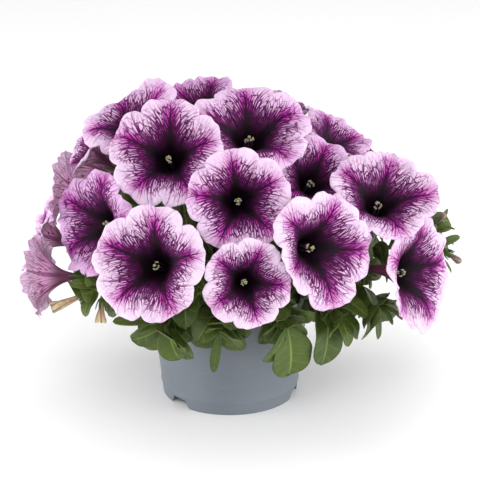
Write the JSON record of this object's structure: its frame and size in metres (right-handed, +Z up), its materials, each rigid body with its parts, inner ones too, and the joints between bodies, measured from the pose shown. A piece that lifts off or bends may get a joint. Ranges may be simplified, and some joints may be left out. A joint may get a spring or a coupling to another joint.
{
  "type": "potted petunia plant",
  "caption": "Bushy petunia in full bloom in a plain round plastic nursery pot: trumpet-shaped blooms on leafy stems that rise from the compost",
  "frame": {"origin": "on the surface the pot stands on, below the middle of the whole plant's outline; the pot's axis is 8 mm left of it and 3 mm behind it", "axes": "+Z is up, along the pot's axis; -Y is the front, the side the picture shows; +X is to the right seen from the front"},
  "size_m": [0.3133, 0.2892, 0.2375],
  "materials": {
    "pot": "matt blue-grey moulded polypropylene, smooth, a little lighter along its edges",
    "soil": "damp dark brown peat compost with coarse crumbs, by weight close to light wood",
    "petal": "thin soft petals, black-purple throat, magenta vein net, pale lilac-white margin",
    "bud": "closed young blooms, brown-purple with darker lines along them",
    "withered": "dry crumpled spent blooms, straw brown",
    "green": "soft downy green stems, leaves with a lighter midrib, and calyces"
  },
  "bodies": {
    "root": {"pot": "pot", "soil": "soil", "bloom_01": "petal", "bloom_02": "petal", "bloom_03": "petal", "bloom_04": "petal", "bloom_05": "petal", "bloom_06": "petal", "bloom_07": "petal", "bloom_08": "petal", "bloom_09": "petal", "bloom_10": "petal", "bloom_11": "petal", "bloom_12": "petal", "bloom_13": "petal", "bloom_14": "petal", "bloom_15": "petal", "bloom_16": "petal", "bloom_17": "petal", "bloom_18": "petal", "bloom_19": "petal", "bloom_20": "petal", "bloom_21": "petal", "bloom_22": "petal", "bloom_23": "petal", "bloom_24": "petal", "bloom_25": "petal", "bloom_26": "petal", "bloom_27": "petal", "bud_01": "bud", "bud_02": "bud", "bud_03": "bud", "spent_01": "withered", "spent_02": "withered", "stem_01": "green", "stem_02": "green", "stem_03": "green", "stem_04": "green", "stem_05": "green", "stem_06": "green", "stem_07": "green", "stem_08": "green", "stem_09": "green", "stem_10": "green", "stem_11": "green", "stem_12": "green", "stem_13": "green", "stem_14": "green", "stem_15": "green", "stem_16": "green", "stem_17": "green", "stem_18": "green", "stem_19": "green", "stem_20": "green", "stem_21": "green", "stem_22": "green", "stem_23": "green", "stem_24": "green", "stem_25": "green", "stem_26": "green"}
  },
  "joints": []
}
